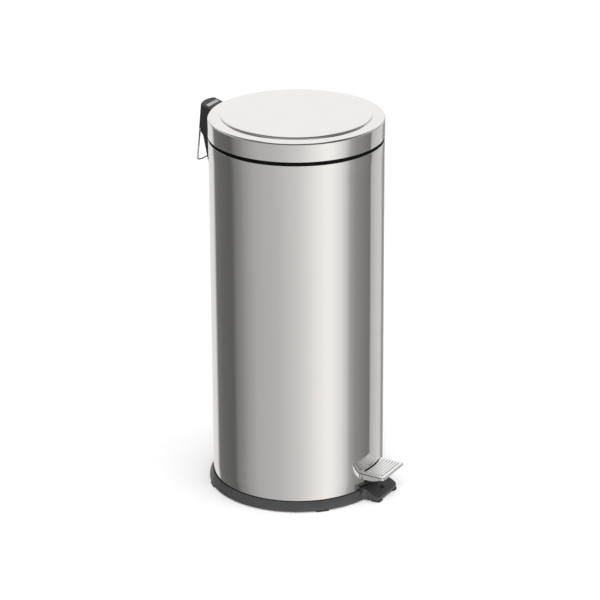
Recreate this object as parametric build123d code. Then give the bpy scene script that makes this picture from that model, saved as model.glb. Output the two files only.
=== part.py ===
from build123d import *
import math
import os

# Pedal bin: a 30 litre steel cylinder with a hinged lid that a foot pedal opens.
# The origin is on the floor at the body's axis. The pedal faces -Y, the hinge +Y.

# Body
body_radius = 145.0
sheet = 0.8
body_low = 17.8
body_high = 609.2

# Base
base_low = 2.3
base_foot_radius = 151.8
base_top_radius = 146.0
tab_half_width = 35.0
tab_front = 174.0

# Top collar and lid
collar_radius = 144.6
collar_top = 615.0
lid_radius = 145.6
lid_low = 615.6
lid_crown = 652.0

# Hinge
hinge_y = 160.0
hinge_z = 636.0
pin_radius = 2.5
housing_half_width = 22.0
cheek_inner = 18.5
cap_half_width = 18.0
housing_wall = 2.2
housing_back_radius = 56.0
top_slope = 0.3153

# Pedal
axle_y = -40.0
axle_z = 33.0
axle_radius = 3.0
lever_half_width = 22.0
lever_top = 47.8
lever_sheet = 1.5
tread_half_width = 38.5
tread_front = 185.0
tread_top = 49.0
tread_sheet = 1.2

# Push rod
rod_radius = 2.0
rod_inner_y = 137.5
rod_outer_y = 150.0
rod_hook_z = 617.8
running_gap = 0.06

# Carry bail
bail_radius = 1.5
bail_y = 170.0
bail_z = 604.2

# Inner bucket
bucket_low = 78.0
bucket_low_radius = 127.0
bucket_top_radius = 131.5
handle_z = 597.0
handle_arc = 119.0


def tube(outer, inner, low, high):
    shape = Cylinder(outer, high - low) - Cylinder(inner, high - low + 2)
    return Pos(0, 0, (low + high) / 2) * shape


def post(x, y, low, high, radius):
    return Pos(x, y, (low + high) / 2) * Cylinder(radius, high - low)


def along_x(start, end, y, z, radius):
    return Pos((start + end) / 2, y, z) * Rot(0, 90, 0) * Cylinder(radius, end - start)


def along_y(start, end, x, z, radius):
    return Pos(x, (start + end) / 2, z) * Rot(90, 0, 0) * Cylinder(radius, end - start)


def block(x0, x1, y0, y1, z0, z1):
    return Pos((x0 + x1) / 2, (y0 + y1) / 2, (z0 + z1) / 2) * Box(x1 - x0, y1 - y0, z1 - z0)


def side_slab(points, start, end):
    # points are (y, z); the slab runs along X from start to end
    face = make_face(Polyline(*points, close=True))
    return extrude(Plane.YZ.offset(start) * face, end - start)


def turned(points):
    # points are (radius, z)
    face = make_face(Polyline(*points, close=True))
    return revolve(Plane.XZ * face, Axis.Z, 360)


def wire_along(path, radius):
    return sweep(Plane(origin=path @ 0, z_dir=path % 0) * Circle(radius), path)


def write(name, shape):
    if isinstance(shape, (list, ShapeList)):
        shape = Compound(children=list(shape))
    export_step(shape, "parts/" + name + ".step")


os.makedirs("parts", exist_ok=True)

# body shell
body_shell = tube(body_radius, body_radius - sheet, body_low, body_high)
body_shell += tube(body_radius - 0.4, 133.0, body_low, body_low + sheet)
pedal_slot = block(-26, 26, -150, -130, 25, 51)
pedal_slot = fillet(pedal_slot.edges().filter_by(Axis.Y), 2.5)
rod_window = block(-10, 10, 130, 150, 546, 597)
rod_window = fillet(rod_window.edges().filter_by(Axis.Y), 4)
body_shell -= pedal_slot
body_shell -= rod_window

# base
flare = Spline((base_foot_radius, base_low), (151.4, 7.0), (149.6, 12.4), (base_top_radius + 1.1, 17.2))
base_line = Curve() + [
    flare,
    Polyline((base_top_radius + 1.1, 17.2), (base_top_radius + 0.8, body_low),
             (base_top_radius + 0.1, body_low), (base_top_radius + 0.1, 16.2), (body_radius + 0.1, 16.2),
             (body_radius + 0.1, body_low), (0, body_low), (0, 15.3), (142.8, 15.3), (146.6, 9.6),
             (148.8, 4.6), (149.2, base_low), (base_foot_radius, base_low))]
base = revolve(Plane.XZ * make_face(base_line), Axis.Z, 360)
for index in range(8):
    rib_side = [(42, 15.4), (142.0, 15.4), (145.2, 10.2), (146.2, 6.0), (60, 6.0), (42, 11.0)]
    base += Rot(0, 0, 22.5 + 45 * index) * side_slab(rib_side, -1.2, 1.2)
base += tube(44, 41, 8, 15.4)

# front tab: ramp with rounded corners, blended into the ring by hollow curves
tab_plan = Rectangle(2 * tab_half_width, tab_front - 100, align=(Align.CENTER, Align.MIN))
tab_plan = Pos(0, -tab_front) * tab_plan + Circle(150.6)
corners = tab_plan.vertices()
hollow = [v for v in corners if abs(abs(v.X) - tab_half_width) < 0.1 and -150 < v.Y < -140]
tab_plan = fillet(hollow, 9)
front = [v for v in tab_plan.vertices() if v.Y < -tab_front + 0.1]
tab_plan = fillet(front, 8)
tab = extrude(Pos(0, 0, base_low) * tab_plan, 24) & block(-56, 56, -180, -139, 0, 40)
tab_side = [(-138, base_low), (-tab_front, base_low), (-tab_front, 8.0), (-147.6, 21.4), (-146.0, 21.8),
            (-138, 21.8)]
tab = tab & side_slab(tab_side, -56, 56)
for side in [-1, 1]:
    shoulder = make_face(Polyline((side * 37, 40), (side * 37, body_low), (side * 37.4, 17.2),
                                  (side * 46, 10.2), (side * 60, 2.4), (side * 60, 40), close=True))
    tab -= extrude(Plane.XZ.offset(130) * shoulder, 60)
tab -= tube(base_top_radius + 0.1, 100, 16.2, 40)
tab -= tube(146.4, 100, 0, 15.3)
tab -= tube(base_top_radius + 0.1, 100, 0, 16.3)
tab_hollow = side_slab([(-130, 0), (-171.4, 0), (-171.4, 6.2), (-149.6, 15.8), (-130, 15.8)], -32.4, 32.4)
boss = post(0, -161, base_low, 20, 8.0) & side_slab(tab_side, -37, 37)
base = base + ((tab - tab_hollow) + boss)
base -= block(-32.4, 32.4, -153, -146, 0, 11.2) & tube(153, 146.8, 0, 11.2)
base -= post(0, -161, 0, 30, 5.0)
base_screw_angles = [45, 135, 225, 315]
base_screws = []
feet = {}
foot_names = ["foot_rear_right", "foot_rear_left", "foot_front_left", "foot_front_right"]
for name, angle in zip(foot_names, base_screw_angles):
    turn = Rot(0, 0, angle)
    base += turn * post(129, 0, 8.0, 15.4, 5.0)
    screw = post(129, 0, 5.6, 8.0, 4.0) + post(129, 0, 7.9, 21.5, 2.0)
    screw -= block(126, 132, -0.5, 0.5, 5.0, 6.4)
    base_screws.append(turn * screw)
    base -= turn * post(129, 0, 5.0, 22, 2.0)
    # each foot is a short arc pad whose stem stands in the base wall
    pad = tube(152.6, 141.0, 0, base_low) & block(120, 160, -11, 11, -1, 4)
    pad = turn * pad
    feet[name] = pad
    base += turn * (tube(147.4, 141.0, base_low, 9.9) & block(120, 149, -11, 11, 0, 12))
for name, side in [("tab_foot_left", -1), ("tab_foot_right", 1)]:
    pad = block(16, 34, -175.2, -157, 0, base_low)
    pad = fillet(pad.edges().filter_by(Axis.Z), 6)
    feet[name] = pad if side > 0 else mirror(pad, Plane.YZ)
    rest = block(26, 33, -172, -160, base_low, 9)
    rest = rest & side_slab(tab_side, -37, 37)
    base += rest if side > 0 else mirror(rest, Plane.YZ)

# floor plate, axle brackets, axle
floor_plate = post(0, 0, body_low + sheet, body_low + sheet + 1.2, 143.6)
for angle in base_screw_angles:
    hole = Rot(0, 0, angle) * post(129, 0, 15, 25, 2.0)
    floor_plate -= hole
    body_shell -= hole
axle_brackets = {}
bracket_screws = []
for name, side in [("axle_bracket_left", -1), ("axle_bracket_right", 1)]:
    upright = side_slab([(-54, 19.8), (-26, 19.8), (-31, 38), (-36, 41), (-44, 41), (-49, 38)], 22.8, 24.8)
    bracket = upright + block(22.8, 38, -54, -26, 19.8, 21.8)
    bracket -= along_x(20, 30, axle_y, axle_z, axle_radius)
    for y in [-47, -33]:
        screw = post(31, y, 21.8, 23.8, 3.6) + post(31, y, 18.2, 21.9, 1.8)
        hole = post(31, y, 15, 30, 1.8)
        bracket -= hole
        floor_plate -= hole if side > 0 else mirror(hole, Plane.YZ)
        bracket_screws.append(screw if side > 0 else mirror(screw, Plane.YZ))
    axle_brackets[name] = bracket if side > 0 else mirror(bracket, Plane.YZ)
lever_axle = along_x(-28.5, 28.5, axle_y, axle_z, axle_radius)
axle_clips = []
for side in [-1, 1]:
    centre = side * 25.6
    clip = along_x(centre - 0.5, centre + 0.5, axle_y, axle_z, 5.6)
    clip -= along_x(centre - 2, centre + 2, axle_y, axle_z, axle_radius)
    clip -= block(centre - 2, centre + 2, axle_y - 1.8, axle_y + 1.8, axle_z - 8, axle_z)
    axle_clips.append(clip)

# pedal lever, tread, nuts
lever_side = [
    (-183, lever_top), (-183, 41.5), (-131, 41.5), (-120, 36), (-62, 31), (-50, 26),
    (-30, 26), (-18, 30), (40, 34), (150, 39.5), (150, lever_top)]
lever_block = side_slab(lever_side, -lever_half_width, lever_half_width)
lever_hollow = block(-lever_half_width + lever_sheet, lever_half_width - lever_sheet, -190, 160, 10,
                     lever_top - lever_sheet)
lever_ends = post(0, 0, 10, 60, 142.3) + block(-30, 30, -181.5, -100, 10, 60)
pedal_lever = (lever_block - lever_hollow) & lever_ends
pedal_lever -= along_x(-30, 30, axle_y, axle_z, axle_radius + running_gap)
pedal_lever -= block(-2.8, 2.8, 133.0, 150, 30, 60)
pedal_lever -= post(0, 90, 30, 60, 9)
pedal_lever -= post(0, 30, 30, 60, 9)

tread = block(-tread_half_width, tread_half_width, -tread_front, -130, 36, tread_top)
tread = fillet(tread.edges().filter_by(Axis.Z).group_by(Axis.Y)[0], 7)
tread_inside = offset(tread, -tread_sheet)
tread = fillet(tread.edges().group_by(Axis.Z)[-1].group_by(Axis.Y)[0:-1][0], 1.0)
tread = tread - (tread_inside + Pos(0, 0, -4) * tread_inside + Pos(0, 10, -4) * tread_inside)
skirt_side = [(-120, 60), (-120, 39.7), (-163, 39.7), (-179, 44.4), (-190, 44.7), (-190, 60)]
tread = (tread & side_slab(skirt_side, -50, 50)) - post(0, 0, 20, 60, 145.6)
tread -= block(-60, 60, -120, -90, 20, 60)
for index in range(6):
    rib = along_x(-30.5, 30.5, -150.6 - 5.0 * index, tread_top, 1.1)
    tread += rib & block(-40, 40, -190, -140, tread_top - 0.6, 60)
tread_nuts = []
for x in [-11, 11]:
    tread += post(x, -160, 40.5, lever_top + 0.2, 2.5)
    pedal_lever -= post(x, -160, 40, 50, 2.6)
    nut = extrude(Pos(x, -160, 42.0) * RegularPolygon(4.6, 6), 4.3) - post(x, -160, 40, 50, 2.5)
    tread_nuts.append(nut)

# top collar
top_collar = turned([
    (collar_radius, body_high), (collar_radius, collar_top - 0.6), (collar_radius - 0.6, collar_top),
    (140.4, collar_top), (140.0, collar_top - 0.4), (140.0, 603.6), (134.4, 603.6), (133.8, 603.0),
    (133.8, 600.6), (134.4, 600.0), (143.9, 598.0), (144.1, 598.2), (144.1, body_high)])

# lid
lid_outer = [
    (lid_radius, lid_low), (lid_radius, 643.9), (145.33, 645.28), (144.55, 646.45), (143.38, 647.23),
    (142.0, 647.5), (140.4, 647.55), (126.4, 648.25), (125.6, 648.4), (125.1, 648.8), (124.5, 649.6),
    (123.6, 650.4), (122.2, 651.0), (120.4, 651.35), (118.0, 651.45), (60, 651.85), (0, lid_crown)]
lid_inner = [
    (0, 651.2), (60, 651.05), (117.9, 650.65), (120.2, 650.55), (121.8, 650.25), (122.95, 649.75),
    (123.8, 649.1), (124.4, 648.35), (125.2, 647.65), (126.3, 647.45), (140.4, 646.75), (141.9, 646.7),
    (143.05, 646.5), (143.98, 645.88), (144.6, 644.9), (144.8, 643.8), (144.8, 617.8), (144.0, 617.6),
    (144.0, 616.0), (144.3, lid_low)]
lid_shell = turned(lid_outer + lid_inner)
lid_ring = tube(144.75, 139.4, 619.4, 621.9) + tube(144.75, 142.6, 621.8, 632)
lid_bumpers = []
for angle in [270, 0, 180]:
    bumper = post(141.7, 0, 615.4, 619.4, 1.9)
    lid_bumpers.append(Rot(0, 0, angle) * bumper)

# hinge housing: shared outer shape
# levels are (z, outer face y at the housing's side edges)
levels = [(660, 167.9), (607.2, 173.2), (603.8, 173.5), (593.2, 166.0), (573.6, 162.0), (552, 157.4),
          (494, 147.4)]


def housing_shape(half_width, wall):
    centre = math.sqrt(housing_back_radius ** 2 - housing_half_width ** 2)
    radius = housing_back_radius - wall
    edge = math.sqrt(radius ** 2 - half_width ** 2) - centre
    faces = []
    for z, y in levels:
        side_y = y + edge
        mid_y = y + radius - centre
        outline = Curve() + [
            Line((-half_width, 130), (half_width, 130)),
            Line((half_width, 130), (half_width, side_y)),
            ThreePointArc((half_width, side_y), (0, mid_y), (-half_width, side_y)),
            Line((-half_width, side_y), (-half_width, 130))]
        faces.append(Pos(0, 0, z) * make_face(outline))
    stages = []
    for upper, lower in zip(faces, faces[1:]):
        stages.append(loft([lower, upper], ruled=True))
    shape = stages[0]
    for stage in stages[1:]:
        shape = shape + stage
    return shape


def under_slope(drop):
    # everything below the sloping top face, lowered by drop
    low_z = 640.4 - 30 * top_slope - drop
    high_z = 640.4 + 40 * top_slope - drop
    return side_slab([(119.7, low_z), (189.7, high_z), (189.7, 400), (119.7, 400)], -60, 60)


housing_outer = housing_shape(housing_half_width, 0.0)
housing_inner = housing_shape(cheek_inner, housing_wall)
hinge_bracket = (housing_outer - housing_inner) & under_slope(0)
hinge_bracket -= block(-cheek_inner, cheek_inner, 100, 200, 618.5, 700)
hinge_bracket -= block(-60, 60, 100, 149.2, 610.0, 700)
hinge_bracket -= post(0, 0, 490, 700, 145.0)
back_low = (tube(147.2, 145.0, 497.5, 545) & block(-18.7, 18.7, 120, 160, 490, 700))
back_high = (tube(147.4, 145.0, 598, 609.2) & block(-18.7, 18.7, 120, 160, 490, 700))
hinge_bracket += back_low + back_high
housing_screws = []
for x, z, reach in [(-13, 531, 151.0), (13, 531, 151.0), (-13.5, 604.6, 149.6), (13.5, 604.6, 149.6)]:
    is_low = z < 600
    boss = along_y(144.8, 151.0 if is_low else 149.6, x, z, 4.0) - post(0, 0, 490, 700, 145.0)
    hinge_bracket += boss & housing_inner
    start = 141.2 if is_low else 141.4
    screw = along_y(start, reach, x, z, 1.8)
    if is_low:
        screw += along_y(start, 143.0, x, z, 3.6)
    housing_screws.append(screw)
    hole = along_y(130, reach, x, z, 1.8)
    hinge_bracket -= hole
    body_shell -= hole
    if not is_low:
        top_collar -= hole
hinge_bracket -= along_x(-20.6, 20.6, hinge_y, hinge_z, pin_radius)
hinge_bracket -= along_x(-30, 30, bail_y, bail_z, bail_radius + running_gap)
hinge_pin = along_x(-20.5, 20.5, hinge_y, hinge_z, pin_radius)

# lid hinge cap; the slot in its web guides the push rod's hook through the lid's turn
cap_outer = housing_shape(cap_half_width, 0.0) & under_slope(0)
cap_room = housing_shape(cap_half_width - housing_wall, housing_wall) & under_slope(housing_wall)
cap_room -= post(0, 0, 400, 700, 148.0)
hinge_cap = cap_outer - cap_room - post(0, 0, 400, 700, lid_radius)
cap_keep = side_slab([(140, 621), (152, 621), (158, 627), (164, 627), (168, 622), (180, 622), (180, 660),
                      (140, 660)], -30, 30)
hinge_cap = hinge_cap & cap_keep
hook_path = []
lift_total = 24.7
for step in range(0, 9):
    turn = math.radians(10.0 * step)
    y = rod_outer_y - hinge_y
    z = rod_hook_z - hinge_z + lift_total * step / 8
    hook_path.append((hinge_y + y * math.cos(turn) - z * math.sin(turn),
                      hinge_z + y * math.sin(turn) + z * math.cos(turn)))
web_side = [(147.0, 620.6), (153, 620.6), (160, 629), (167, 632), (167, 643.5), (147.0, 637.5)]
cam_web = side_slab(web_side, 3.0, 6.0)
for y, z in hook_path:
    cam_web -= along_x(0, 9, y, z, rod_radius + 0.5)
for first, second in zip(hook_path, hook_path[1:]):
    cam_web -= along_x(0, 9, (first[0] + second[0]) / 2, (first[1] + second[1]) / 2, rod_radius + 0.45)
cam_web -= side_slab([(hook_path[0][0] - 2.4, 617), (hook_path[0][0] + 12, 617), (hook_path[2][0] + 6, 624),
                      hook_path[3], hook_path[2], hook_path[1], hook_path[0]], 0, 9)
hinge_cap += cam_web & under_slope(1.0)
hinge_cap += side_slab([(147, 630), (152, 630), (168, 641), (168, 643), (147, 637)], -6.0, -3.0)
hinge_cap -= block(-3.4, 3.4, 160, 190, 600, 628.5)
hinge_cap -= along_x(-30, 30, hinge_y, hinge_z, pin_radius + running_gap)
cap_rivets = []
for x in [-12, 12]:
    rivet = along_y(143.9, 149.4, x, 630, 2.0)
    rivet += along_y(142.7, 143.9, x, 630, 3.6)
    rivet += along_y(148.0, 149.2, x, 630, 3.4) - post(0, 0, 600, 700, 148.0)
    hole = along_y(140, 152, x, 630, 2.0)
    hinge_cap -= hole
    lid_shell -= hole
    lid_ring -= along_y(138, 152, x, 630, 3.9)
    cap_rivets.append(rivet)
tilt = math.degrees(math.atan(top_slope))
label_plate = Box(32, 6.0, 0.9)
label_plate = fillet(label_plate.edges().filter_by(Axis.Z), 0.8)
for index in range(5):
    label_plate += Pos(0, -2.0 + index, 0.45) * Rot(0, 90, 0) * Cylinder(0.25, 29)
label_plate = Pos(0, 159.6, 640.4 + 9.9 * top_slope + 0.49) * Rot(tilt, 0, 0) * label_plate

# carry bail
bail_path = FilletPolyline(
    (-16.6, bail_y, bail_z), (-24.6, bail_y, bail_z), (-34.5, bail_y, 554.0), (-20, bail_y, 551.6),
    (0, bail_y, 551.0), (20, bail_y, 551.6), (34.5, bail_y, 554.0), (24.6, bail_y, bail_z),
    (16.6, bail_y, bail_z), radius=4.0)
carry_bail = wire_along(bail_path, bail_radius)

# push rod and guides
rod_path = FilletPolyline(
    (0, rod_inner_y, 40.5), (0, rod_inner_y, 551), (0, rod_outer_y, 567), (0, rod_outer_y, rod_hook_z),
    (8, rod_outer_y, rod_hook_z), radius=[6, 6, 2.6])
push_rod = wire_along(rod_path, rod_radius)
rod_collar = post(0, rod_inner_y, 48.6, 53.0, 4.2) - post(0, rod_inner_y, 40, 60, rod_radius)
guides = {}
guide_rivets = []
for name, low in [("rod_guide_lower", 150), ("rod_guide_upper", 468)]:
    guide = block(-11, 11, 133.2, 146, low, low + 12) & post(0, 0, low, low + 12, body_radius - sheet)
    guide = guide - post(0, rod_inner_y, low - 1, low + 13, rod_radius + running_gap)
    for x in [-7.5, 7.5]:
        rivet = along_y(138.0, 145.6, x, low + 6, 1.5)
        rivet += along_y(145.0, 146.0, x, low + 6, 2.6) - post(0, 0, low, low + 12, body_radius)
        hole = along_y(138.0, 150, x, low + 6, 1.5)
        guide -= hole
        body_shell -= hole
        guide_rivets.append(rivet)
    guides[name] = guide

# inner bucket
inner_bucket = turned([
    (0, bucket_low), (bucket_low_radius - 5, bucket_low), (bucket_low_radius - 1.5, bucket_low + 1.5),
    (bucket_low_radius, bucket_low + 5), (bucket_top_radius, 602.0), (132.2, 604.6), (134.0, 605.2),
    (136.4, 604.3), (138.2, 605.4), (138.4, 607.2), (137.4, 608.7), (135.6, 609.0), (134.2, 608.0),
    (133.8, 606.4), (131.6, 605.4), (130.7, 602.5), (126.2, bucket_low + 5.4),
    (bucket_low_radius - 2.2, bucket_low + 2.4), (bucket_low_radius - 5.4, bucket_low + 0.8),
    (0, bucket_low + 0.8)])
ears = {}
ear_rivets = []
for name, side in [("bucket_ear_left", -1), ("bucket_ear_right", 1)]:
    ear = block(123.6, 129.9, -8, 8, 588, 603) & post(0, 0, 588, 603, 130.2)
    ear -= block(120, 127.2, -20, 20, 580, 592.4)
    ear = fillet(ear.edges().filter_by(Axis.X), 1.2)
    ear -= along_x(115, 129.0, 0, handle_z, rod_radius + running_gap)
    for y in [-5, 5]:
        rivet = along_x(126.0, 133.0, y, 590.0, 1.4) + along_x(125.9, 127.2, y, 590.0, 2.2)
        rivet += along_x(131.6, 132.6, y, 590.0, 2.2)
        hole = along_x(118, 140, y, 590.0, 1.4)
        ear -= hole
        inner_bucket -= hole if side > 0 else mirror(hole, Plane.YZ)
        ear_rivets.append(rivet if side > 0 else mirror(rivet, Plane.YZ))
    ears[name] = ear if side > 0 else mirror(ear, Plane.YZ)
bend = 12.0
left_end = FilletPolyline((-128.6, 0, handle_z), (-handle_arc, 0, handle_z), (-handle_arc, -bend, handle_z),
                          radius=5.0)
right_end = FilletPolyline((handle_arc, -bend, handle_z), (handle_arc, 0, handle_z), (128.6, 0, handle_z),
                           radius=5.0)
front_arc = ThreePointArc((-handle_arc, -bend, handle_z), (0, -bend - handle_arc + 10, handle_z),
                          (handle_arc, -bend, handle_z))
bucket_handle = wire_along(Wire(left_end.edges() + [front_arc.edge()] + right_end.edges()), rod_radius)
grip_arc = front_arc.edge().trim(0.5 - 0.11, 0.5 + 0.11)
handle_grip = wire_along(grip_arc, 6.0) - bucket_handle

# write every piece
pieces = {
    "body_shell": body_shell,
    "base": base,
    "floor_plate": floor_plate,
    "base_screws": base_screws,
    "lever_axle": lever_axle,
    "axle_clips": axle_clips,
    "bracket_screws": bracket_screws,
    "pedal_lever": pedal_lever,
    "pedal_tread": tread,
    "tread_nuts": tread_nuts,
    "top_collar": top_collar,
    "lid_shell": lid_shell,
    "lid_ring": lid_ring,
    "lid_bumpers": lid_bumpers,
    "hinge_bracket": hinge_bracket,
    "housing_screws": housing_screws,
    "hinge_pin": hinge_pin,
    "hinge_cap": hinge_cap,
    "cap_rivets": cap_rivets,
    "label_plate": label_plate,
    "carry_bail": carry_bail,
    "push_rod": push_rod,
    "rod_collar": rod_collar,
    "guide_rivets": guide_rivets,
    "inner_bucket": inner_bucket,
    "ear_rivets": ear_rivets,
    "bucket_handle": bucket_handle,
    "handle_grip": handle_grip,
}
pieces.update(feet)
pieces.update(axle_brackets)
pieces.update(guides)
pieces.update(ears)
for name, shape in pieces.items():
    write(name, shape)
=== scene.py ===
import bpy, bmesh, math
from mathutils import Vector, Matrix, Quaternion


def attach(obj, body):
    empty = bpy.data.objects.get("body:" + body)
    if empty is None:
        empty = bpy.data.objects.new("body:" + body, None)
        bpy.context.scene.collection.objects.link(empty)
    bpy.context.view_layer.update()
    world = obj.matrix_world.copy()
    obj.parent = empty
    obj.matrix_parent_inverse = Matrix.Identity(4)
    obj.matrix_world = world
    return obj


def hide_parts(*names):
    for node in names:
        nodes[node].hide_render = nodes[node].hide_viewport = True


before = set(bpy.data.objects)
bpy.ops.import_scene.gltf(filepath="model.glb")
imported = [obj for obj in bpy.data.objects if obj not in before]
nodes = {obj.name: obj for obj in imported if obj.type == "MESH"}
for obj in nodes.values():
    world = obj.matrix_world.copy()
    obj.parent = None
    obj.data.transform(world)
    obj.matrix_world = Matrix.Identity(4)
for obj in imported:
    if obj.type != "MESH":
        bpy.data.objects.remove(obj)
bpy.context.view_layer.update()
mm = 0.001
print("frame loaded,", len(nodes), "nodes")


# gives a function that adds a node to a tree and sets its inputs or its properties by name
def nodeMaker(tree):
    def add(kind, **values):
        node = tree.nodes.new(kind)
        for key, value in values.items():
            if key in node.inputs:
                node.inputs[key].default_value = value
            else:
                setattr(node, key, value)
        return node

    return add


def newMaterial(name):
    mat = bpy.data.materials.new(name)
    mat.use_nodes = True
    tree = mat.node_tree
    return mat, tree, tree.nodes["Principled BSDF"], nodeMaker(tree)


def objectCoords(add, tree, scale):
    coords = add("ShaderNodeTexCoord")
    mapping = add("ShaderNodeMapping", Scale=scale)
    tree.links.new(coords.outputs["Object"], mapping.inputs["Vector"])
    return mapping.outputs["Vector"]


def noiseFactor(add, tree, scale, **values):
    noise = add("ShaderNodeTexNoise", **values)
    tree.links.new(objectCoords(add, tree, scale), noise.inputs["Vector"])
    return noise.outputs["Fac"]


def mixValues(add, tree, share, first, second):
    mix = add("ShaderNodeMix", data_type="FLOAT")
    mix.inputs[0].default_value = share
    tree.links.new(first, mix.inputs[2])
    tree.links.new(second, mix.inputs[3])
    return mix.outputs[0]


def rampNode(add, tree, factor, stops):
    ramp = add("ShaderNodeValToRGB")
    tree.links.new(factor, ramp.inputs["Fac"])
    band = ramp.color_ramp.elements
    for element, (place, color) in zip(band, stops):
        element.position, element.color = place, (*color, 1)
    return ramp.outputs["Color"]


# colour and roughness follow a factor over a ramp; each share scales the roughness at its place
def linkColor(add, tree, shader, factor, stops):
    tree.links.new(rampNode(add, tree, factor, stops), shader.inputs["Base Color"])


def linkRough(add, tree, shader, factor, rough, shares):
    stops = [(place, (rough * share,) * 3) for place, share in shares]
    tree.links.new(rampNode(add, tree, factor, stops), shader.inputs["Roughness"])


def addBump(add, tree, shader, height, strength, distance):
    bump = add("ShaderNodeBump", Strength=strength, Distance=distance)
    tree.links.new(height, bump.inputs["Height"])
    tree.links.new(bump.outputs["Normal"], shader.inputs["Normal"])


# polished sheet: fine drawn lines round the part and soft cloudy patches
def polishedSheet(name, color, low, high, lines):
    mat, tree, shader, add = newMaterial(name)
    shader.inputs["Metallic"].default_value = 1
    cloud = noiseFactor(add, tree, (14, 14, 5), Scale=1.0, Detail=4.0, Roughness=0.6)
    drawn = noiseFactor(add, tree, lines, Scale=1.0, Detail=3.0, Roughness=0.7)
    mixed = mixValues(add, tree, 0.45, cloud, drawn)
    rough = add("ShaderNodeMapRange")
    rough.inputs["From Min"].default_value, rough.inputs["From Max"].default_value = 0.3, 0.7
    rough.inputs["To Min"].default_value, rough.inputs["To Max"].default_value = low, high
    tree.links.new(mixed, rough.inputs["Value"])
    tree.links.new(rough.outputs["Result"], shader.inputs["Roughness"])
    dark = tuple(c * 0.965 for c in color)
    linkColor(add, tree, shader, mixed, [(0.32, dark), (0.68, color)])
    addBump(add, tree, shader, drawn, 0.02, 0.0002)
    return mat


# zinc coat: metal with small crystal patches
def zincCoat(name, color, size, rough, contrast, metallic=1.0):
    mat, tree, shader, add = newMaterial(name)
    shader.inputs["Metallic"].default_value = metallic
    wobble = noiseFactor(add, tree, (size, size, size), Scale=2.2, Detail=3.0)
    crystal = add("ShaderNodeTexVoronoi", Scale=1.0, Randomness=1.0)
    tree.links.new(objectCoords(add, tree, (size, size, size)), crystal.inputs["Vector"])
    patches = add("ShaderNodeRGBToBW")
    tree.links.new(crystal.outputs["Color"], patches.inputs["Color"])
    mixed = mixValues(add, tree, 0.4, patches.outputs["Val"], wobble)
    dark = tuple(c * (1 - contrast) for c in color)
    linkColor(add, tree, shader, mixed, [(0.2, dark), (0.75, color)])
    linkRough(add, tree, shader, mixed, rough, [(0.2, 1.25), (0.8, 0.8)])
    addBump(add, tree, shader, mixed, 0.05, 0.0003)
    return mat


# moulded plastic: fine spark grain and slight unevenness; upright faces can be given a paler colour, a painted
# sheen that stands in for the light they reflect
def moulding(name, color, grain, rough, depth, gloss=0.45, uprightSheen=None):
    mat, tree, shader, add = newMaterial(name)
    fine = noiseFactor(add, tree, (grain, grain, grain), Scale=1.0, Detail=2.0, Roughness=0.55)
    broad = noiseFactor(add, tree, (35, 35, 35), Scale=1.0, Detail=4.0, Roughness=0.6)
    light = tuple(min(1, c * 1.22 + 0.003) for c in color)
    tint = rampNode(add, tree, broad, [(0.35, color), (0.7, light)])
    if uprightSheen:
        # painted sheen: faces that stand upright get the paler colour, faces that look up keep the darker one
        coords = add("ShaderNodeTexCoord")
        facing = add("ShaderNodeSeparateXYZ")
        tree.links.new(coords.outputs["Normal"], facing.inputs[0])
        level = rampNode(add, tree, facing.outputs["Z"], [(0.45, (0, 0, 0)), (0.75, (1, 1, 1))])
        pale = tuple(c * 1.15 for c in uprightSheen)
        upright = rampNode(add, tree, broad, [(0.35, uprightSheen), (0.7, pale)])
        mix = add("ShaderNodeMix", data_type="RGBA")
        tree.links.new(level, mix.inputs[0])
        tree.links.new(upright, mix.inputs[6])
        tree.links.new(tint, mix.inputs[7])
        tint = mix.outputs[2]
    tree.links.new(tint, shader.inputs["Base Color"])
    linkRough(add, tree, shader, broad, rough, [(0.3, 0.92), (0.7, 1.1)])
    shader.inputs["Specular IOR Level"].default_value = gloss
    addBump(add, tree, shader, fine, 0.25, depth)
    return mat


# plated wire: faint marks along its length
def wirePlate(name, color, rough):
    mat, tree, shader, add = newMaterial(name)
    shader.inputs["Metallic"].default_value = 1
    drawn = noiseFactor(add, tree, (160, 160, 30), Scale=1.0, Detail=3.0)
    dark = tuple(c * 0.9 for c in color)
    linkColor(add, tree, shader, drawn, [(0.35, dark), (0.65, color)])
    linkRough(add, tree, shader, drawn, rough, [(0.3, 0.8), (0.7, 1.3)])
    addBump(add, tree, shader, drawn, 0.03, 0.0001)
    return mat


finishes = {
    "bodySteel": polishedSheet("bodySteel", (0.86, 0.849, 0.83), 0.045, 0.085, (40, 40, 2600)),
    "lidSteel": polishedSheet("lidSteel", (0.88, 0.87, 0.852), 0.016, 0.036, (900, 900, 900)),
    "treadSteel": polishedSheet("treadSteel", (0.88, 0.88, 0.875), 0.04, 0.08, (60, 1800, 1800)),
    "blackMoulding": moulding("blackMoulding", (0.013, 0.013, 0.0135), 1500, 0.40, 0.00012, 0.4),
    # the collar's black is darker and duller than the other black plastic: partly its own black, partly painted
    # shade for the gap under the lid
    "collarBlackAndShade": moulding("collarBlackAndShade", (0.002, 0.002, 0.002), 1200, 0.55, 0.0001, 0.03),
    # the charcoal's last colour is a painted sheen on the base's upright faces, paler than its top faces
    "charcoalMoulding": moulding("charcoalMoulding", (0.020, 0.020, 0.0205), 1300, 0.36, 0.00012, 0.4,
                                 (0.050, 0.050, 0.051)),
    "greyMoulding": moulding("greyMoulding", (0.34, 0.34, 0.34), 1500, 0.45, 0.0001),
    "padRubber": moulding("padRubber", (0.025, 0.025, 0.026), 900, 0.7, 0.0002),
    "zincPlate": zincCoat("zincPlate", (0.62, 0.63, 0.65), 380, 0.28, 0.16),
    "galvanised": zincCoat("galvanised", (0.60, 0.61, 0.625), 75, 0.38, 0.24, 0.6),
    "bailChrome": wirePlate("bailChrome", (0.80, 0.80, 0.80), 0.10),
}
print("materials made")


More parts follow.
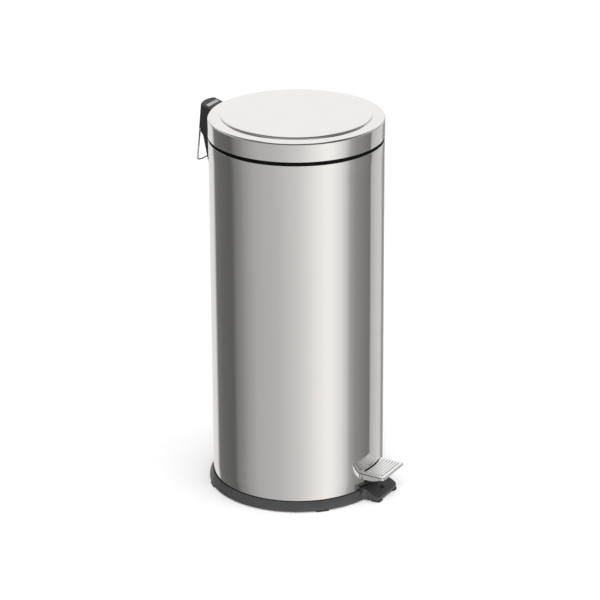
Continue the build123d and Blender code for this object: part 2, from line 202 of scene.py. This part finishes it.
# the arc that rounds a corner: its centre, and the arms from there to where it starts and ends
def cornerArc(here, before, after, radius):
    angle = before.angle(after)
    reach = min(radius / math.tan(angle / 2), before.length * 0.49, after.length * 0.49)
    bend = reach * math.tan(angle / 2)
    middle = (before.normalized() + after.normalized()).normalized()
    centre = here + middle * (bend / math.sin(angle / 2))
    return centre, here + before.normalized() * reach - centre, here + after.normalized() * reach - centre


# rounds the corners of a closed (radius, z) or (x, z) line; each point is (a, b, corner radius)
def roundedLine(points, steps=6):
    line = []
    for i, (a, b, radius) in enumerate(points):
        here = Vector((a, b))
        if radius <= 0:
            line.append(here)
            continue
        before = Vector(points[i - 1][:2]) - here
        after = Vector(points[(i + 1) % len(points)][:2]) - here
        centre, first, last = cornerArc(here, before, after, radius)
        turn = first.angle_signed(last)
        for k in range(steps + 1):
            t = -turn * k / steps
            line.append(centre + Vector((first.x * math.cos(t) - first.y * math.sin(t),
                                         first.x * math.sin(t) + first.y * math.cos(t))))
    return line


def smoothFaces(mesh, sharp):
    for face in mesh.polygons:
        face.use_smooth = True
    mesh.set_sharp_from_angle(angle=math.radians(sharp))


def makeObject(name, bm):
    bmesh.ops.recalc_face_normals(bm, faces=bm.faces)
    mesh = bpy.data.meshes.new(name)
    bm.to_mesh(mesh)
    bm.free()
    obj = bpy.data.objects.new(name, mesh)
    bpy.context.scene.collection.objects.link(obj)
    return obj


def finishMesh(name, bm, material, body, sharp=35, replaced=()):
    obj = makeObject(name, bm)
    smoothFaces(obj.data, sharp)
    obj.data.materials.append(finishes[material])
    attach(obj, body)
    if replaced:
        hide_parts(*replaced)
    return obj


# spins a closed (radius, z) line in mm into a ring
def turnedMesh(name, line, material, body, steps=256, sharp=35, replaced=()):
    bm = bmesh.new()
    rings = []
    for point in line:
        radius, z = point[0] * mm, point[1] * mm
        if radius < 1e-7:  # a point on the axis
            rings.append([bm.verts.new((0, 0, z))])
            continue
        rings.append([bm.verts.new((radius * math.cos(2 * math.pi * k / steps),
                                    radius * math.sin(2 * math.pi * k / steps), z)) for k in range(steps)])
    for i, ring in enumerate(rings):
        following = rings[(i + 1) % len(rings)]
        if len(ring) == 1 and len(following) == 1:
            continue
        for k in range(steps):
            n = (k + 1) % steps
            if len(ring) == 1:
                bm.faces.new((ring[0], following[k], following[n]))
            elif len(following) == 1:
                bm.faces.new((ring[k], ring[n], following[0]))
            else:
                bm.faces.new((ring[k], ring[n], following[n], following[k]))
    return finishMesh(name, bm, material, body, sharp, replaced)


# a block with rounded corners that runs along y, used as a cutter
def cutterBlock(x0, x1, y0, y1, z0, z1, radius):
    outline = roundedLine([(x0, z0, radius), (x1, z0, radius), (x1, z1, radius), (x0, z1, radius)])
    bm = bmesh.new()
    near = [bm.verts.new((p.x * mm, y0 * mm, p.y * mm)) for p in outline]
    far = [bm.verts.new((p.x * mm, y1 * mm, p.y * mm)) for p in outline]
    bm.faces.new(near)
    bm.faces.new(far)
    for i in range(len(near)):
        n = (i + 1) % len(near)
        bm.faces.new((near[i], near[n], far[n], far[i]))
    return makeObject("cutter", bm)


def applyModifiers(obj):
    bpy.context.view_layer.update()
    depsgraph = bpy.context.evaluated_depsgraph_get()
    mesh = bpy.data.meshes.new_from_object(obj.evaluated_get(depsgraph))
    obj.modifiers.clear()
    old = obj.data
    obj.data = mesh
    bpy.data.meshes.remove(old)


def cutAway(obj, cutters, sharp=35):
    for cutter in cutters:
        boolean = obj.modifiers.new("cut", "BOOLEAN")
        boolean.object = cutter
        boolean.operation = "DIFFERENCE"
        boolean.solver = "EXACT"
    applyModifiers(obj)
    for cutter in cutters:
        bpy.data.objects.remove(cutter)
    smoothFaces(obj.data, sharp)


# body: drawn tube with a folded top edge, a flange turned in at the foot, a lever slot and a rod window
bodyShape = {"radius": 145.0, "sheet": 0.8, "low": 17.8, "high": 609.2, "hem": 0.2, "hemDeep": 9.0,
             "flange": 133.0, "longStep": 200, "cuts": 24,
             "slot": (-26, 26, -152, -130, 25, 51, 2.5), "window": (-10, 10, 130, 152, 546, 597, 4)}
v = bodyShape
inner = v["radius"] - v["sheet"]
hem = inner - v["hem"]
hemLow = v["high"] - v["hemDeep"]
flangeTop = v["low"] + v["sheet"]
bodyLine = roundedLine([
    (v["radius"], v["low"], 0.6), (v["radius"], v["high"], 0.7), (hem, v["high"], 0.3), (hem, hemLow, 0),
    (inner, hemLow - 0.3, 0), (inner, flangeTop + 0.1, 0.3), (v["flange"], flangeTop, 0),
    (v["flange"], v["low"], 0)], steps=4)
levels = []
for i, point in enumerate(bodyLine):
    levels.append(point)
    following = bodyLine[(i + 1) % len(bodyLine)]
    if abs(following.y - point.y) > v["longStep"]:
        for k in range(1, v["cuts"]):
            levels.append(point.lerp(following, k / v["cuts"]))
body = turnedMesh("bodySheet", levels, "bodySteel", "bin", steps=288, replaced=["body_shell"])
cutAway(body, [cutterBlock(*v["slot"]), cutterBlock(*v["window"])])
print("body made")

# lid: drawn cap with a tight outer corner, a shallow channel and a raised centre with a soft shoulder
lidShape = {"radius": 145.6, "sheet": 0.8, "low": 615.6, "rim": 647.35, "rimCorner": 3.6,
            "channel": 125.5, "channelTop": 648.35, "channelCorner": 0.8,
            "dome": 124.6, "domeEdge": 651.45, "shoulder": 4.4, "hem": 144.1, "hemTop": 618.0,
            "crown": [(100, 651.6), (60, 651.85), (25, 651.98), (0, 652.0)],
            "crownInside": [(0, 651.2), (60, 651.05), (100, 650.8)]}
v = lidShape
sheet = v["sheet"]
lidLine = [(v["radius"], v["low"], 0.35), (v["radius"], v["rim"], v["rimCorner"]),
           (v["channel"], v["channelTop"], v["channelCorner"]), (v["dome"], v["domeEdge"], v["shoulder"])]
lidLine += [(radius, z, 0) for radius, z in v["crown"] + v["crownInside"]]
lidLine += [(v["dome"] - sheet, v["domeEdge"] - sheet, v["shoulder"] - sheet),
            (v["channel"] - sheet, v["channelTop"] - sheet, v["channelCorner"]),
            (v["radius"] - sheet, v["rim"] - sheet, v["rimCorner"] - sheet),
            (v["radius"] - sheet, v["hemTop"] + 0.3, 0.1), (v["hem"], v["hemTop"], 0.3),
            (v["hem"], v["low"], 0.3)]
turnedMesh("lidSheet", roundedLine(lidLine, steps=10), "lidSteel", "lid", steps=320, sharp=50,
           replaced=["lid_shell"])
print("lid made")

# collar: black ring that the lid closes on, with a ledge under the body's top edge
collarShape = {"outer": 144.6, "seat": 144.1, "lip": 140.2, "throat": 140.0, "inner": 133.8,
               "bodyTop": 609.2, "top": 615.0, "ledge": 603.6, "ledgeLow": 600.2, "low": 598.0}
v = collarShape
collarLine = roundedLine([
    (v["outer"], v["bodyTop"], 0.2), (v["outer"], v["top"], 0.7), (v["lip"], v["top"], 0.6),
    (v["throat"], v["ledge"] + 0.1, 0.5), (v["inner"], v["ledge"], 0.6), (v["inner"], v["ledgeLow"], 0.6),
    (v["seat"], v["low"], 0.4), (v["seat"], v["bodyTop"], 0)], steps=4)
# the collar's near-black finish is partly the ring's own black and partly painted shade in the gap under the lid
turnedMesh("collarRing", collarLine, "collarBlackAndShade", "bin", steps=256, replaced=["top_collar"])
print("collar made")

# tread: folded plate with pressed ribs, its skirt wrapping the two sides and the front
treadShape = {"half": 38.5, "front": 185.0, "rear": 145.6, "top": 49.0, "corner": 5.6, "bend": 1.8,
              "sheet": 1.2, "skirtLow": 39.7, "skirtRise": 5.0, "riseFrom": 162, "riseOver": 17, "riseCurve": 1.3,
              "ribs": 6, "firstRib": 150.8, "pitch": 5.35, "ribHigh": 1.4, "ribHalf": 1.25, "ribTop": 0.45,
              "ribEnd": 31.0, "ribFade": 2.2, "rows": 280, "columns": 60, "bendSteps": 6, "wallSteps": 4,
              "cornerSteps": 12, "sharp": 50}


def treadMesh(v):
    core, frontLine = v["half"] - v["corner"], v["front"] - v["corner"]
    rows, columns = v["rows"], v["columns"]

    def alongY(x, k):
        rear = -math.sqrt(v["rear"] ** 2 - x * x)
        return rear + (-frontLine - rear) * k / rows

    def skirtLow(y):
        share = min(1, max(0, (-y - v["riseFrom"]) / v["riseOver"]))
        return v["skirtLow"] + v["skirtRise"] * share ** v["riseCurve"]

    def ribHeight(x, y):
        height = 0
        for i in range(v["ribs"]):
            away = abs(y + v["firstRib"] + v["pitch"] * i)
            share = min(1, max(0, (v["ribHalf"] - away) / (v["ribHalf"] - v["ribTop"])))
            height = max(height, v["ribHigh"] * share * share * (3 - 2 * share))
        end = min(1, max(0, (v["ribEnd"] - abs(x)) / v["ribFade"]))
        return height * end * (2 - end)

    # from the flat top over the bend and down the skirt
    def spoke(origin, outer):
        flat = v["corner"] - v["bend"]
        wall, low = v["top"] - v["bend"], skirtLow(outer[1])
        points = [(d, v["top"]) for d in (0, 1.5, 3.2, flat)]
        for k in range(1, v["bendSteps"] + 1):
            t = math.radians(90 * k / v["bendSteps"])
            points.append((flat + v["bend"] * math.sin(t), v["top"] - v["bend"] * (1 - math.cos(t))))
        for k in range(1, v["wallSteps"] + 1):
            points.append((v["corner"], wall + (low - wall) * k / v["wallSteps"]))
        return [(origin[0] + (outer[0] - origin[0]) * d / v["corner"],
                 origin[1] + (outer[1] - origin[1]) * d / v["corner"], z) for d, z in points]

    bm = bmesh.new()

    def strip(lines):
        made = [[bm.verts.new([c * mm for c in p]) for p in line] for line in lines]
        for first, second in zip(made, made[1:]):
            for i in range(len(first) - 1):
                bm.faces.new((first[i], second[i], second[i + 1], first[i + 1]))

    across = [-core + 2 * core * i / columns for i in range(columns + 1)]
    grid = []
    for x in across:
        column = [(x, alongY(x, k)) for k in range(rows + 1)]
        grid.append([(x, y, v["top"] + ribHeight(x, y)) for x, y in column])
    strip(grid)
    for side in (-1, 1):
        lines = []
        for k in range(rows + 1):
            lines.append(spoke((side * core, alongY(core, k)), (side * v["half"], alongY(v["half"], k))))
        for k in range(1, v["cornerSteps"] + 1):
            t = math.radians(90 * k / v["cornerSteps"])
            lines.append(spoke((side * core, -frontLine), (side * (core + v["corner"] * math.cos(t)),
                                                           -frontLine - v["corner"] * math.sin(t))))
        strip(lines)
    strip([spoke((x, -frontLine), (x, -v["front"])) for x in across])
    bmesh.ops.remove_doubles(bm, verts=bm.verts, dist=0.00002)
    bmesh.ops.dissolve_degenerate(bm, edges=bm.edges, dist=0.00001)
    return bm


tread = finishMesh("treadPlate", treadMesh(treadShape), "treadSteel", "pedal", sharp=treadShape["sharp"],
                   replaced=["pedal_tread"])
thick = tread.modifiers.new("sheet", "SOLIDIFY")
thick.thickness, thick.offset = treadShape["sheet"] * mm, -1
applyModifiers(tread)
tread.data.set_sharp_from_angle(angle=math.radians(treadShape["sharp"]))
print("tread made")


# carries a wire's middle line round its corners; each point is (x, y, z, corner radius)
def bentPath(points, steps=8):
    path = [Vector(points[0][:3])]
    for i in range(1, len(points) - 1):
        here, radius = Vector(points[i][:3]), points[i][3]
        before, after = Vector(points[i - 1][:3]) - here, Vector(points[i + 1][:3]) - here
        if radius <= 0 or before.angle(after) > math.radians(179):
            path.append(here)
            continue
        centre, first, last = cornerArc(here, before, after, radius)
        axis = first.cross(last).normalized()
        for k in range(steps + 1):
            path.append(centre + Quaternion(axis, first.angle(last) * k / steps) @ first)
    path.append(Vector(points[-1][:3]))
    return path


# drawn wire: a round section carried along a path, with domed ends
def wireMesh(name, path, radius, material, body, sides=20, replaced=(), crown=0.5):
    bm = bmesh.new()
    rings = []
    normal = None
    count = len(path)
    dome = [(crown * t, math.sqrt(max(0, 1 - (1 - t) ** 2))) for t in (0.12, 0.35, 0.65, 1)]
    turns = [2 * math.pi * k / sides for k in range(sides)]
    for i, here in enumerate(path):
        ahead = path[min(i + 1, count - 1)] - here
        behind = here - path[max(i - 1, 0)]
        tangent = (ahead.normalized() + behind.normalized()).normalized()
        if normal is None:
            normal = tangent.orthogonal().normalized()
        normal = (normal - tangent * normal.dot(tangent)).normalized()
        other = tangent.cross(normal)
        sections = [(here, 1.0)]
        if i == 0:
            sections = [(here + tangent * deep, share) for deep, share in dome]
        elif i == count - 1:
            sections = [(here - tangent * deep, share) for deep, share in reversed(dome)]
        for centre, share in sections:
            reach = radius * share
            rings.append([bm.verts.new((centre + (normal * math.cos(t) + other * math.sin(t)) * reach) * mm)
                          for t in turns])
    for first, second in zip(rings, rings[1:]):
        for k in range(sides):
            n = (k + 1) % sides
            bm.faces.new((first[k], first[n], second[n], second[k]))
    bm.faces.new(rings[0])
    bm.faces.new(rings[-1])
    return finishMesh(name, bm, material, body, 50, replaced)


# two studs under the tread take the nuts that hold it to the lever
studShape = {"side": 11.0, "y": -160.0, "top": 48.2, "foot": 40.5, "radius": 2.5}
v = studShape
for name, side in [("studLeft", -v["side"]), ("studRight", v["side"])]:
    studLine = [Vector((side, v["y"], v["top"])), Vector((side, v["y"], v["foot"]))]
    wireMesh(name, studLine, v["radius"], "zincPlate", "pedal")
print("tread studs made")

# carry bail: spring wire hooked into the housing's two cheeks
bailShape = {"radius": 1.5, "y": 170.0, "pivot": 604.2, "inner": 16.6, "outer": 24.6, "wide": 34.5,
             "low": 554.0, "corner": 4.0, "sag": [(20, 551.6, 30), (0, 551.0, 0)]}
v = bailShape
half = [(v["inner"], v["pivot"], 0), (v["outer"], v["pivot"], v["corner"])]
half += [(v["wide"], v["low"], v["corner"])] + v["sag"]
bailPoints = [(-x, v["y"], z, r) for x, z, r in half]
bailPoints += [(x, v["y"], z, r) for x, z, r in reversed(half[:-1])]
wireMesh("bailWire", bentPath(bailPoints), v["radius"], "bailChrome", "bail", replaced=["carry_bail"])
print("bail made")

# push rod: straight wire cranked outwards below the lid and hooked sideways at its top
rodShape = {"radius": 2.0, "inner": 137.5, "outer": 150.0, "foot": 40.5, "crankLow": 551, "crankHigh": 567,
            "crankBend": 6, "hook": 617.8, "hookBend": 2.6, "hookEnd": 8}
v = rodShape
rodPoints = [(0, v["inner"], v["foot"], 0), (0, v["inner"], v["crankLow"], v["crankBend"]),
             (0, v["outer"], v["crankHigh"], v["crankBend"]), (0, v["outer"], v["hook"], v["hookBend"]),
             (v["hookEnd"], v["outer"], v["hook"], 0)]
wireMesh("rodWire", bentPath(rodPoints), v["radius"], "zincPlate", "rod", replaced=["push_rod"])
print("push rod made")

# bucket handle: wire bent to lie just inside the rim, its ends turned out into the two ears
handleShape = {"radius": 2.0, "level": 597.0, "end": 128.6, "side": 119.0, "drop": 12.0, "front": 121.0,
               "corner": 5.0, "halfSteps": 32}
v = handleShape
arcCentre = (v["side"] ** 2 + v["drop"] ** 2 - v["front"] ** 2) / (2 * (v["front"] - v["drop"]))
arcRadius = v["front"] + arcCentre
arcEnd = math.atan2(v["side"], v["drop"] + arcCentre)
leftEnd = bentPath([(-v["end"], 0, v["level"], 0), (-v["side"], 0, v["level"], v["corner"]),
                    (-v["side"], -v["drop"], v["level"], 0)])
arcPoints = []
for k in range(1, 2 * v["halfSteps"]):
    t = arcEnd * (k / v["halfSteps"] - 1)
    arcPoints.append(Vector((arcRadius * math.sin(t), arcCentre - arcRadius * math.cos(t), v["level"])))
rightEnd = [Vector((-p.x, p.y, p.z)) for p in reversed(leftEnd)]
wireMesh("handleWire", leftEnd + arcPoints + rightEnd, v["radius"], "zincPlate", "bucket_bail",
         replaced=["bucket_handle"])
print("bucket handle made")

# bevels soften the edges of the smaller CAD pieces; widths are in mm
edgeShape = {"segments": 3, "sharper": 40,
             "widths": {"hinge_bracket": 0.7, "hinge_cap": 0.5, "pedal_lever": 0.3, "base": 0.4}}
v = edgeShape
for name, width in v["widths"].items():
    bevel = nodes[name].modifiers.new("edge", "BEVEL")
    bevel.width = width * mm
    bevel.segments = v["segments"]
    bevel.limit_method = "ANGLE"
    bevel.angle_limit = math.radians(v["sharper"])

# every other piece is zinc plated, and the feet are rubber
nodeFinish = {
    "base": "charcoalMoulding", "floor_plate": "galvanised", "top_collar": "blackMoulding",
    "hinge_bracket": "blackMoulding", "hinge_cap": "blackMoulding", "label_plate": "greyMoulding",
    "lid_ring": "blackMoulding", "lid_bumpers": "padRubber", "rod_guide_lower": "blackMoulding",
    "rod_guide_upper": "blackMoulding", "handle_grip": "blackMoulding", "carry_bail": "bailChrome",
    "inner_bucket": "galvanised", "pedal_tread": "treadSteel", "body_shell": "bodySteel",
    "lid_shell": "lidSteel", "guide_rivets": "bailChrome"}
for name, node in nodes.items():
    finish = nodeFinish.get(name, "padRubber" if "foot" in name else "zincPlate")
    node.data.materials.clear()
    node.data.materials.append(finishes[finish])
print("carried pieces finished")

# pale floor; its slight glow keeps the shadow at the foot faint
floorShape = {"half": 6, "tone": (0.93, 0.93, 0.93, 1), "rough": 0.9, "glow": 0.09}
v = floorShape
floorMesh = bpy.data.meshes.new("floor")
corners = [(x * v["half"], y * v["half"], 0) for x, y in ((-1, -1), (1, -1), (1, 1), (-1, 1))]
floorMesh.from_pydata(corners, [], [(0, 1, 2, 3)])
floor = bpy.data.objects.new("floor", floorMesh)
bpy.context.scene.collection.objects.link(floor)
floorMat, _, floorShader, _ = newMaterial("paleFloor")
floorShader.inputs["Base Color"].default_value = v["tone"]
floorShader.inputs["Roughness"].default_value = v["rough"]
floorShader.inputs["Emission Color"].default_value = (1, 1, 1, 1)
floorShader.inputs["Emission Strength"].default_value = v["glow"]
floorMesh.materials.append(floorMat)
floor.visible_glossy = False

# the studio's front and side directions, its plain colours, and the heights where one part fades into the next
studio = {"front": (-0.8704, -0.4924), "side": (0.4924, -0.8704), "ceiling": (0.95, 0.95, 0.94, 1),
          "horizon": (0.98, 0.975, 0.96, 1), "horizonShare": 0.5, "softCeiling": (1.1, 1.1, 1.1, 1),
          "backdrop": (1, 1, 1, 1), "horizonFade": (-0.14, -0.05), "eyeFade": (-0.03, 0.04),
          "highFade": (0.16, 0.28), "topFade": (0.50, 0.60), "ceilingFade": (0.88, 0.97),
          "softFade": (0.55, 0.85)}
world = bpy.data.worlds.new("studio")
bpy.context.scene.world = world
world.use_nodes = True
worldTree = world.node_tree
worldTree.nodes.clear()
worldNode = nodeMaker(worldTree)
join = worldTree.links.new


def mathNode(operation, first, second=None):
    node = worldNode("ShaderNodeMath", operation=operation)
    for slot, value in enumerate((first, second)):
        if value is None:
            continue
        if isinstance(value, (int, float)):
            node.inputs[slot].default_value = value
        else:
            join(value, node.inputs[slot])
    return node.outputs[0]


direction = worldNode("ShaderNodeTexCoord").outputs["Generated"]
split = worldNode("ShaderNodeSeparateXYZ")
join(direction, split.inputs[0])


# how far the ray's direction lies along a level direction
def along(level):
    return mathNode("ADD", mathNode("MULTIPLY", split.outputs[0], level[0]),
                    mathNode("MULTIPLY", split.outputs[1], level[1]))


around = mathNode("ARCTAN2", along(studio["side"]), along(studio["front"]))
turnShare = mathNode("ADD", mathNode("DIVIDE", around, 2 * math.pi), 0.5)

# each wall is a list of (angle from the front in degrees, brightness, warmth); these are below eye level
walls = [
    (-180, 0.85, 0), (-150, 0.80, 0), (-141, 0.78, 0), (-134, 0.19, 0), (-119, 0.145, 0), (-97, 0.122, 0),
    (-93, 0.14, 0), (-88, 0.215, 0), (-79, 0.27, 0), (-71, 0.345, 0), (-63, 0.40, 0), (-55, 0.455, 0),
    (-41, 0.49, 0), (-27, 0.52, 0), (-14, 0.59, 0), (0, 0.66, 0.005), (12, 0.76, 0.015), (25, 0.885, 0.018),
    (38, 0.985, 0.015), (48, 0.97, 0.01), (60, 0.79, 0), (68, 0.62, 0), (74, 0.40, 0), (84, 0.29, 0),
    (103, 0.215, 0), (112, 0.19, 0), (114.5, 0.50, 0), (128, 0.62, 0), (144, 0.68, 0), (155, 0.26, 0),
    (162, 0.40, 0), (180, 0.85, 0)]
# just above eye level the front and sides are dark and the back is one large white sheet
upperWalls = [
    (-180, 0.97, 0), (-158, 0.97, 0), (-146, 0.62, 0), (-132, 0.16, 0), (-90, 0.10, 0), (0, 0.06, 0),
    (90, 0.09, 0), (128, 0.15, 0), (146, 0.60, 0), (160, 0.97, 0), (180, 0.97, 0)]
# a little higher the same walls are lighter, most of all at the sides
highWalls = [
    (-180, 0.97, 0), (-152, 0.92, 0), (-130, 0.72, 0), (-100, 0.58, 0), (-70, 0.42, 0), (-35, 0.20, 0),
    (0, 0.16, 0), (40, 0.15, 0), (70, 0.30, 0), (100, 0.50, 0), (130, 0.68, 0), (152, 0.92, 0),
    (180, 0.97, 0)]
# what matt surfaces see: brighter in front and to the right, dim to the left
softWalls = [
    (-180, 0.8, 0), (-150, 0.3, 0), (-80, 0.2, 0), (-45, 0.7, 0), (-10, 1.7, 0), (50, 1.9, 0),
    (100, 1.1, 0), (150, 0.7, 0), (180, 0.8, 0)]


def wallRamp(stops):
    ramp = worldNode("ShaderNodeValToRGB")
    join(turnShare, ramp.inputs["Fac"])
    band = ramp.color_ramp.elements
    for i, (angle, value, warm) in enumerate(stops):
        place = (angle + 180) / 360
        stop = band[0] if i == 0 else band[-1] if i == len(stops) - 1 else band.new(place)
        stop.position, stop.color = place, (value * (1 + warm), value, value * (1 - warm), 1)
    return ramp.outputs["Color"]


def heightMask(fade):
    rise = worldNode("ShaderNodeMapRange")
    rise.interpolation_type = "SMOOTHSTEP"
    rise.inputs["From Min"].default_value, rise.inputs["From Max"].default_value = studio[fade]
    join(split.outputs[2], rise.inputs["Value"])
    return rise.outputs["Result"]


def blendColors(mask, first, second):
    mix = worldNode("ShaderNodeMix", data_type="RGBA")
    for slot, value in ((0, mask), (6, first), (7, second)):
        if isinstance(value, tuple):
            mix.inputs[slot].default_value = value
        else:
            join(value, mix.inputs[slot])
    return mix.outputs[2]


def backdrop(color):
    node = worldNode("ShaderNodeBackground", Strength=1.0)
    if isinstance(color, tuple):
        node.inputs["Color"].default_value = color
    else:
        join(color, node.inputs["Color"])
    return node.outputs[0]


def swapShaders(switch, first, second):
    node = worldNode("ShaderNodeMixShader")
    for slot, value in enumerate((switch, first, second)):
        join(value, node.inputs[slot])
    return node.outputs[0]


# polished surfaces see the walls by height, matt surfaces see the soft light, and the camera sees white
horizon = mathNode("MULTIPLY", heightMask("horizonFade"), studio["horizonShare"])
lowerPart = blendColors(horizon, wallRamp(walls), studio["horizon"])
risingPart = blendColors(heightMask("highFade"), wallRamp(upperWalls), wallRamp(highWalls))
topPart = blendColors(heightMask("topFade"), risingPart, wallRamp(upperWalls))
upperPart = blendColors(heightMask("ceilingFade"), topPart, studio["ceiling"])
polishedLight = backdrop(blendColors(heightMask("eyeFade"), lowerPart, upperPart))
softLight = backdrop(blendColors(heightMask("softFade"), wallRamp(softWalls), studio["softCeiling"]))
rays = worldNode("ShaderNodeLightPath").outputs
objectLight = swapShaders(rays["Is Glossy Ray"], softLight, polishedLight)
seen = swapShaders(rays["Is Camera Ray"], objectLight, backdrop(studio["backdrop"]))
join(seen, worldNode("ShaderNodeOutputWorld").inputs["Surface"])

lampAim = (0, 0, 0.3)
lamps = {
    "key": {"at": (-2.2, -0.6, 2.6), "size": 1.6, "power": 26},
    "fill": {"at": (0.6, -2.6, 1.8), "size": 1.4, "power": 12},
}
for name, v in lamps.items():
    lamp = bpy.data.lights.new(name, "AREA")
    lamp.shape = "SQUARE"
    lamp.size = v["size"]
    lamp.energy = v["power"]
    lampObj = bpy.data.objects.new(name, lamp)
    lampObj.location = v["at"]
    lampObj.rotation_euler = (Vector(lampAim) - Vector(v["at"])).to_track_quat("-Z", "Y").to_euler()
    lampObj.visible_glossy = False
    bpy.context.scene.collection.objects.link(lampObj)
print("stage and light made")

view = {"at": (-3.7974, -2.1535, 2.0654), "target": (0.00218, -0.00385, 0.3224), "roll": -0.287,
        "lens": 168.2, "sensor": 36, "clipEnd": 50}
camera = bpy.data.cameras.new("camera")
camera.lens = view["lens"]
camera.sensor_width = view["sensor"]
camera.clip_end = view["clipEnd"]
cameraObj = bpy.data.objects.new("camera", camera)
bpy.context.scene.collection.objects.link(cameraObj)
back = (Vector(view["at"]) - Vector(view["target"])).normalized()
right = Vector((0, 0, 1)).cross(back).normalized()
up = back.cross(right)
roll = math.radians(view["roll"])
camX = right * math.cos(roll) + up * math.sin(roll)
camY = up * math.cos(roll) - right * math.sin(roll)
cameraObj.matrix_world = Matrix.Translation(view["at"]) @ Matrix((camX, camY, back)).transposed().to_4x4()
bpy.context.scene.camera = cameraObj
bpy.context.scene.view_settings.view_transform = "Standard"
print("camera set")
